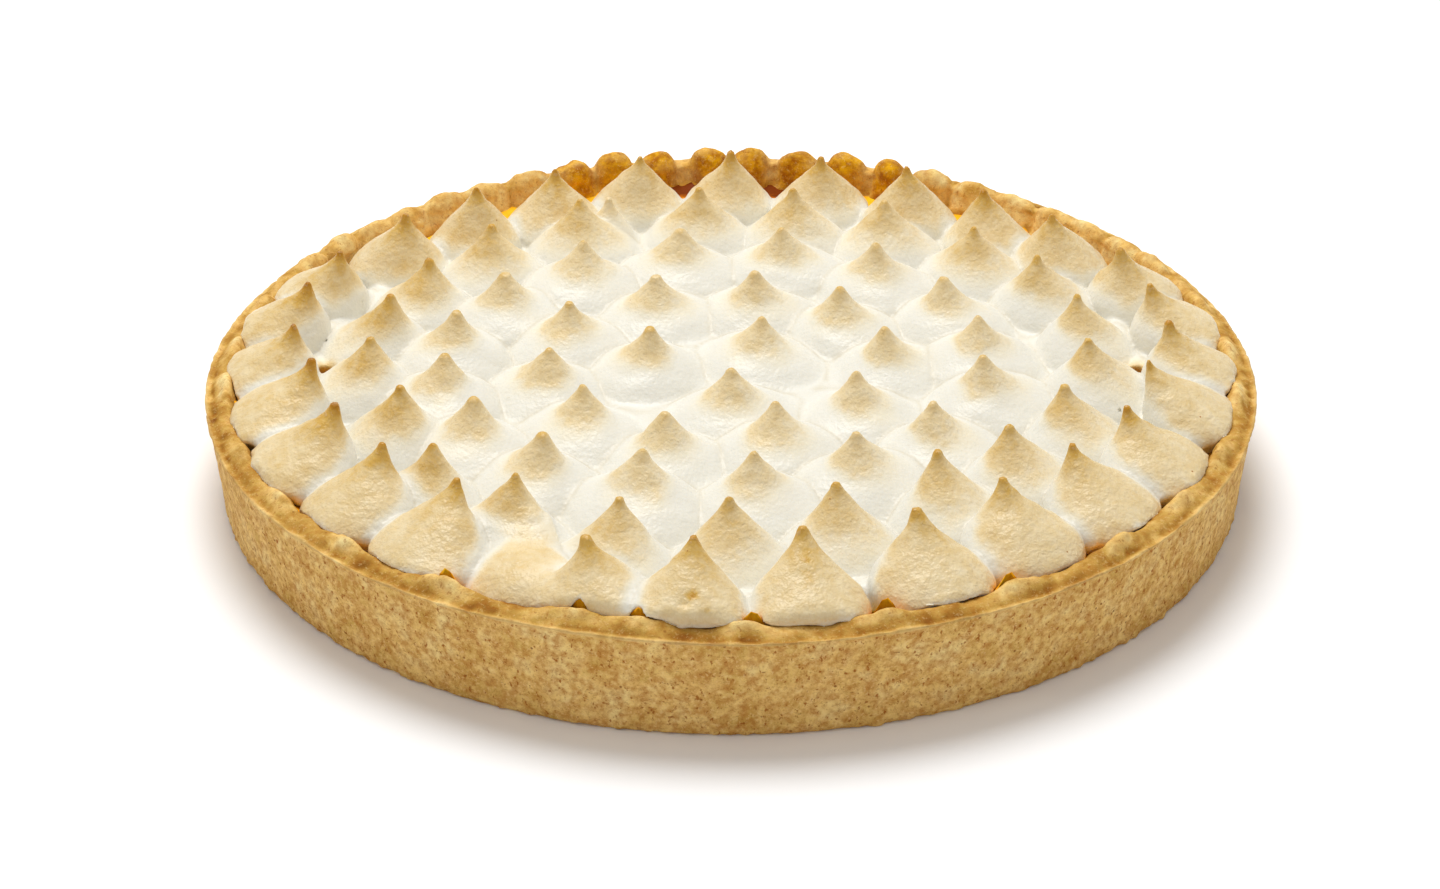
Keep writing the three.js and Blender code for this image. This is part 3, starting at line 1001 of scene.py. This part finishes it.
# noise whose bumps are "size" millimetres across
def addNoise(tree, place, size, detail, roughness=0.55):
    noise = tree.nodes.new("ShaderNodeTexNoise")
    noise.inputs["Detail"].default_value = detail
    noise.inputs["Roughness"].default_value = roughness
    feed(tree, noise.inputs["Vector"], place)
    feed(tree, noise.inputs["Scale"], addMath(tree, "DIVIDE", 1 / mm, size))
    return noise.outputs["Fac"]


# soft uneven patches, 0 to 1
def makePatchGroup():
    group, given, result = makeGroup("softPatches", ["Size"], ["Mask"])
    noise = addNoise(group, addPlace(group), given["Size"], 3.0)
    feed(group, result["Mask"], addRange(group, noise, 0.3, 0.7))
    return group


# a fine crumb and a softly wrinkled skin, each from a coarse and a fine noise
grains = {
    "fineCrumb": {"detail": 4, "roughness": 0.65, "fineSize": 0.35, "fineDetail": 2, "fineAmount": 0.5,
                  "pits": [0.72, 0.6], "peaks": [0.8, 0.92]},
    "wrinkledSkin": {"detail": 1, "roughness": 0.4, "fineSize": 0.45, "fineDetail": 1, "fineAmount": 0.4,
                     "pits": [0.68, 0.55], "peaks": [0.8, 0.9]},
}


# a height for bump, and masks of its low and its high places
def makeGrainGroup(name):
    look = grains[name]
    group, given, result = makeGroup(name, ["Size"], ["Height", "Pits", "Peaks"])
    place = addPlace(group)
    aside = addMath(group, "ADD", place, (0.37, 0.259, 0.481), "ShaderNodeVectorMath")
    coarse = addNoise(group, place, given["Size"], look["detail"], look["roughness"])
    fine = addNoise(group, aside, multiply(group, given["Size"], look["fineSize"]), look["fineDetail"])
    both = addMath(group, "ADD", coarse, multiply(group, fine, look["fineAmount"]))
    feed(group, result["Height"], both)
    feed(group, result["Pits"], addRange(group, both, *look["pits"]))
    feed(group, result["Peaks"], addRange(group, both, *look["peaks"]))
    return group


# ragged flecks, flatter the larger "Tall" is, 0 to 1
def makeFleckGroup():
    group, given, result = makeGroup("raggedFlecks", ["Size", "Amount", "Tall"], ["Mask"])
    stretch = group.nodes.new("ShaderNodeCombineXYZ")
    for axis, amount in (("X", 1), ("Y", 1), ("Z", given["Tall"])):
        feed(group, stretch.inputs[axis], amount)
    place = addMath(group, "MULTIPLY", addPlace(group), stretch.outputs[0], "ShaderNodeVectorMath")
    noise = addNoise(group, place, given["Size"], 3.0, 0.6)
    low = addMath(group, "SUBTRACT", given["Amount"], 0.08)
    feed(group, result["Mask"], addRange(group, noise, given["Amount"], low))
    return group


# scattered specks, 0 to 1
def makeSpeckGroup():
    group, given, result = makeGroup("scatteredSpecks", ["Size", "Width", "Amount"], ["Mask"])
    cells = group.nodes.new("ShaderNodeTexVoronoi")
    cells.feature = "F1"
    feed(group, cells.inputs["Vector"], addPlace(group))
    feed(group, cells.inputs["Scale"], addMath(group, "DIVIDE", 1 / mm, given["Size"]))
    chosen = group.nodes.new("ShaderNodeSeparateColor")
    feed(group, chosen.inputs["Color"], cells.outputs["Color"])
    core = multiply(group, given["Width"], 0.4)
    dot = addRange(group, cells.outputs["Distance"], given["Width"], core)
    picked = addMath(group, "LESS_THAN", chosen.outputs[0], given["Amount"])
    feed(group, result["Mask"], multiply(group, dot, picked))
    return group


def useGroup(tree, group, values):
    node = tree.nodes.new("ShaderNodeGroup")
    node.node_tree = group
    for label, value in values.items():
        node.inputs[label].default_value = value
    return node.outputs


def rgb(red, green, blue):
    def channel(value):
        value /= 255
        return value / 12.92 if value <= 0.04045 else ((value + 0.055) / 1.055) ** 2.4
    return (channel(red), channel(green), channel(blue), 1.0)


def newMaterial(name):
    material = bpy.data.materials.new(name)
    material.use_nodes = True
    tree = material.node_tree
    return material, tree, tree.nodes["Principled BSDF"]


def readAttribute(tree, name):
    node = tree.nodes.new("ShaderNodeAttribute")
    node.attribute_name = name
    return node.outputs["Fac"]


def colourRamp(tree, value, stops):
    ramp = tree.nodes.new("ShaderNodeValToRGB")
    elements = ramp.color_ramp.elements
    while len(elements) < len(stops):
        elements.new(0.5)
    for element, (place, colour) in zip(elements, stops):
        element.position = place
        element.color = rgb(*colour)
    tree.links.new(value, ramp.inputs["Fac"])
    return ramp.outputs["Color"]


def mixColours(tree, share, first, second):
    node = tree.nodes.new("ShaderNodeMix")
    node.data_type = "RGBA"
    sockets = [socket for socket in node.inputs if socket.type == "RGBA"]
    for socket, colour in zip(sockets, (first, second)):
        feed(tree, socket, rgb(*colour) if isinstance(colour, tuple) else colour)
    tree.links.new(share, node.inputs["Factor"])
    return [socket for socket in node.outputs if socket.type == "RGBA"][0]


# a material's base with one more colour over it, where the mask and "where" let it through
def layOver(tree, base, colour, mask, amount, where):
    share = multiply(tree, multiply(tree, mask, amount), where)
    return mixColours(tree, share, base, colour)


def setShader(tree, shader, colour, settings):
    tree.links.new(colour, shader.inputs["Base Color"])
    for label, value in settings.items():
        shader.inputs[label].default_value = value


def addBump(tree, shader, height, distance):
    bump = tree.nodes.new("ShaderNodeBump")
    bump.inputs["Strength"].default_value = 1.0
    bump.inputs["Distance"].default_value = distance * mm
    tree.links.new(height, bump.inputs["Height"])
    tree.links.new(bump.outputs["Normal"], shader.inputs["Normal"])


pastryFinish = {
    "bakeColours": [(0, (248, 226, 158)), (0.3, (240, 201, 122)), (0.55, (208, 167, 84)),
                    (0.8, (172, 125, 48)), (1, (124, 72, 18))],
    "goldColour": (238, 176, 10),
    "darkGold": (160, 90, 0),
    "darkGoldAmount": 0.95,
    "mottles": {"Size": 3.2},
    "patches": {"Size": 2},
    "crumb": {"Size": 1.1},
    "flecks": {"Size": 1.2, "Amount": 0.4, "Tall": 0.75},
    "cracks": {"Size": 2.4, "Amount": 0.34, "Tall": 4},
    "specks": {"Size": 4.2, "Width": 0.11, "Amount": 0.7},
    # what lies over the baked colour, as [mask, amount, colour]
    "over": [["patches", 0.68, (184, 118, 46)], ["pits", 0.35, (156, 82, 18)],
             ["grains", 0.5, (246, 212, 146)], ["flecks", 0.8, (156, 82, 18)],
             ["cracks", 0.75, (128, 62, 12)], ["specks", 0.8, (128, 62, 12)]],
    "edgeColour": (236, 206, 146),
    "edgeAmount": 0.35,
    "plainRim": 0.45,  # how much less of all that the rim has
    "smoothRim": 0.15,  # and how much less bump
    "shader": {"Roughness": 0.7, "Specular IOR Level": 0.06},
    "crackDepth": 0.08,
    "bump": 0.32,
}


def makePastryMaterial(groups):
    look = pastryFinish
    material, tree, shader = newMaterial("bakedPastry")
    rim = readAttribute(tree, "rim")
    plain = addMath(tree, "SUBTRACT", 1.0, multiply(tree, rim, look["plainRim"]))
    rough = addMath(tree, "SUBTRACT", 1.0, multiply(tree, rim, look["smoothRim"]))
    crumb = useGroup(tree, groups["crumb"], look["crumb"])
    masks = {
        "patches": useGroup(tree, groups["patches"], look["patches"])["Mask"],
        "pits": crumb["Pits"],
        "grains": crumb["Peaks"],
        "flecks": useGroup(tree, groups["flecks"], look["flecks"])["Mask"],
        "cracks": useGroup(tree, groups["flecks"], look["cracks"])["Mask"],
        "specks": useGroup(tree, groups["specks"], look["specks"])["Mask"],
    }
    mottled = useGroup(tree, groups["patches"], look["mottles"])["Mask"]
    darker = multiply(tree, mottled, look["darkGoldAmount"])
    gold = mixColours(tree, darker, look["goldColour"], look["darkGold"])
    base = colourRamp(tree, readAttribute(tree, "bakeAndPaintedShading"), look["bakeColours"])
    base = mixColours(tree, readAttribute(tree, "gold"), base, gold)
    for name, amount, colour in look["over"]:
        base = layOver(tree, base, colour, masks[name], amount, plain)
    edged = multiply(tree, readAttribute(tree, "edge"), look["edgeAmount"])
    base = mixColours(tree, edged, base, look["edgeColour"])
    setShader(tree, shader, base, look["shader"])
    cracked = multiply(tree, masks["cracks"], look["crackDepth"])
    height = addMath(tree, "SUBTRACT", crumb["Height"], cracked)
    addBump(tree, shader, multiply(tree, height, rough), look["bump"])
    return material


curdFinish = {
    "colours": [(0, (240, 198, 36)), (0.4, (255, 172, 22)), (0.75, (184, 98, 2)), (1, (118, 50, 0))],
    "patches": {"Size": 2.4},
    "uneven": 0.2,
    "shader": {"Roughness": 0.5, "Specular IOR Level": 0.05, "Coat Weight": 0.02, "Coat Roughness": 0.15},
}


def makeCurdMaterial(groups):
    look = curdFinish
    material, tree, shader = newMaterial("glossyCurd")
    patches = useGroup(tree, groups["patches"], look["patches"])["Mask"]
    burnt = addMath(tree, "ADD", readAttribute(tree, "burnt"), multiply(tree, patches, look["uneven"]))
    setShader(tree, shader, colourRamp(tree, burnt, look["colours"]), look["shader"])
    return material


meringueFinish = {
    "toastColours": [(0, (230, 227, 216)), (0.12, (237, 229, 207)), (0.3, (234, 214, 171)),
                     (0.45, (225, 198, 143)), (0.6, (214, 173, 86)), (0.8, (192, 136, 30)),
                     (1, (150, 88, 0))],
    "toastedFrom": [0.05, 0.3],  # where the toast starts to show its grain, and where all of it does
    "patches": {"Size": 2.4},
    "uneven": 0.12,
    "skin": {"Size": 1.2},
    # what lies over the toasted colour, as [output of the skin's node group, amount, colour]: painted shade
    # in the skin's pits and painted glints on its peaks
    "over": [["Pits", 0.09, (196, 158, 112)], ["Peaks", 0.12, (255, 247, 228)]],
    "specks": {"Size": 5.5, "Width": 0.06, "Amount": 0.25},
    "speckedFrom": [0.2, 0.35],
    "speckColour": (170, 112, 52),
    # painted shade: a greyer colour along the creases between kisses
    "creaseShadeColour": (206, 194, 166),
    "creaseShadeAmount": 0.6,
    "shader": {"Roughness": 0.36, "Specular IOR Level": 0.26, "Coat Weight": 0.03, "Coat Roughness": 0.2,
               "Subsurface Weight": 0.15, "Subsurface Radius": (1.0, 0.9, 0.75),
               "Subsurface Scale": 0.8 * mm},
    "bump": 0.3,
    "bumpShare": [0.55, 0.45],  # everywhere, and more where it is toasted
}


def makeMeringueMaterial(groups):
    look = meringueFinish
    material, tree, shader = newMaterial("toastedMeringue")
    toast = readAttribute(tree, "toast")
    toasted = addRange(tree, toast, *look["toastedFrom"])
    patches = useGroup(tree, groups["patches"], look["patches"])["Mask"]
    skin = useGroup(tree, groups["skin"], look["skin"])
    uneven = multiply(tree, addMath(tree, "SUBTRACT", patches, 0.5), look["uneven"])
    uneven = addMath(tree, "ADD", toast, multiply(tree, uneven, toasted))
    base = colourRamp(tree, uneven, look["toastColours"])
    # painted shade in the skin's pits and painted glints on its peaks, where it is toasted
    for output, amount, colour in look["over"]:
        base = layOver(tree, base, colour, skin[output], amount, toasted)
    specks = useGroup(tree, groups["specks"], look["specks"])["Mask"]
    specked = multiply(tree, specks, addRange(tree, toast, *look["speckedFrom"]))
    base = mixColours(tree, specked, base, look["speckColour"])
    # painted shade along the creases between kisses
    creaseShaded = multiply(tree, readAttribute(tree, "creaseShade"), look["creaseShadeAmount"])
    base = mixColours(tree, creaseShaded, base, look["creaseShadeColour"])
    setShader(tree, shader, base, look["shader"])
    least, more = look["bumpShare"]
    rough = addMath(tree, "ADD", least, multiply(tree, toasted, more))
    addBump(tree, shader, multiply(tree, skin["Height"], rough), look["bump"])
    return material


groups = {
    "patches": makePatchGroup(),
    "crumb": makeGrainGroup("fineCrumb"),
    "skin": makeGrainGroup("wrinkledSkin"),
    "flecks": makeFleckGroup(),
    "specks": makeSpeckGroup(),
}
case = makeCrust()
print("crust made:", len(case.data.polygons), "faces")
filling = makeCurd()
print("curd made:", len(filling.data.polygons), "faces")
topping = makeMeringue()
print("meringue made:", len(topping.data.polygons), "faces")
case.data.materials.append(makePastryMaterial(groups))
filling.data.materials.append(makeCurdMaterial(groups))
topping.data.materials.append(makeMeringueMaterial(groups))
for piece, node, slot in ((case, "crust", "shortcrust"), (filling, "lemon_filling", "lemon_curd"),
                          (topping, "meringue", "toasted_meringue")):
    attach(piece, "root")
    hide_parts(node)


studio = {
    "floorSize": 6000,
    "floorColour": (250, 250, 250),
    "floorRoughness": 0.9,
    "floorGloss": 0.1,
    "skyStrength": 0.52,
    # as [place in metres, size, power]
    "lamps": {"key": [(-0.12, 0.5, 1.28), 0.8, 15.5], "glint": [(-0.9, -0.5, 0.9), 0.12, 0.5]},
    "target": (0, 0, 3.2),
    "cameraDistance": 810,
    "cameraElevation": 28.653,
    "lens": 76.97,
    "shiftX": -0.0076,
}


def makeFloor():
    half = studio["floorSize"] / 2
    corners = np.array([[-half, -half, 0], [half, -half, 0], [half, half, 0], [-half, half, 0]], float)
    floor = makeObject("floor", corners, [(0, 1, 2, 3)], smooth=False)
    material, _, shader = newMaterial("paleFloor")
    shader.inputs["Base Color"].default_value = rgb(*studio["floorColour"])
    shader.inputs["Roughness"].default_value = studio["floorRoughness"]
    shader.inputs["Specular IOR Level"].default_value = studio["floorGloss"]
    floor.data.materials.append(material)


def aimAt(thing, target):
    direction = thing.location - target
    thing.rotation_euler = direction.to_track_quat("Z", "Y").to_euler()


def addAreaLight(name, place, size, power, target):
    light = bpy.data.lights.new(name, "AREA")
    light.shape = "DISK"
    light.size = size
    light.energy = power
    lamp = bpy.data.objects.new(name, light)
    lamp.location = place
    bpy.context.scene.collection.objects.link(lamp)
    aimAt(lamp, target)


def makeStudio():
    scene = bpy.context.scene
    scene.view_settings.view_transform = "Standard"
    world = bpy.data.worlds.new("studio")
    world.use_nodes = True
    world.node_tree.nodes["Background"].inputs["Color"].default_value = (1, 1, 1, 1)
    world.node_tree.nodes["Background"].inputs["Strength"].default_value = studio["skyStrength"]
    scene.world = world
    camera = bpy.data.objects.new("camera", bpy.data.cameras.new("camera"))
    scene.collection.objects.link(camera)
    elevation = math.radians(studio["cameraElevation"])
    distance = studio["cameraDistance"] * mm
    height = distance * math.sin(elevation) + studio["target"][2] * mm
    camera.location = (0, -distance * math.cos(elevation), height)
    target = camera.location.copy()
    target.xyz = [value * mm for value in studio["target"]]
    aimAt(camera, target)
    camera.data.lens = studio["lens"]
    camera.data.shift_x = studio["shiftX"]
    scene.camera = camera
    for name, lamp in studio["lamps"].items():
        addAreaLight(name, *lamp, target)


makeFloor()
makeStudio()
